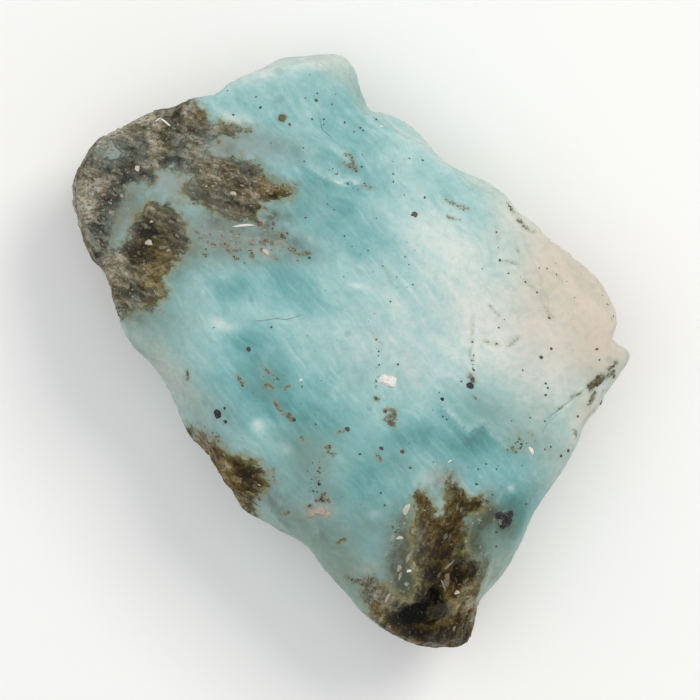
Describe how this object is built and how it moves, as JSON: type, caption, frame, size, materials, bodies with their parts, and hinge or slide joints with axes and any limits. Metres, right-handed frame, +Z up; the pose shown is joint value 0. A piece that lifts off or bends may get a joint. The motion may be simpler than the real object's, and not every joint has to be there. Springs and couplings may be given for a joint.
{
  "type": "raw larimar stone",
  "caption": "Flat rough chunk of pale blue larimar with brown host rock on its corner, edge and tip, resting on its broken underside.",
  "frame": {"origin": "below the middle of the stone's box, on the plane of its rest face", "axes": "+Z up out of the broad blue face, +X towards the pale pinkish end, +Y towards the upper lobe"},
  "size_m": [0.0432, 0.0462, 0.0136],
  "materials": {
    "larimar": "rough broken face with a waxy sheen",
    "dark_crystal": "dark grains and crystals with a dull metallic gloss",
    "pale_chip": "white translucent flakes",
    "host_rock": "dull, rough and crumbly"
  },
  "bodies": {
    "root": {"larimar_stone": "larimar"}
  },
  "joints": []
}
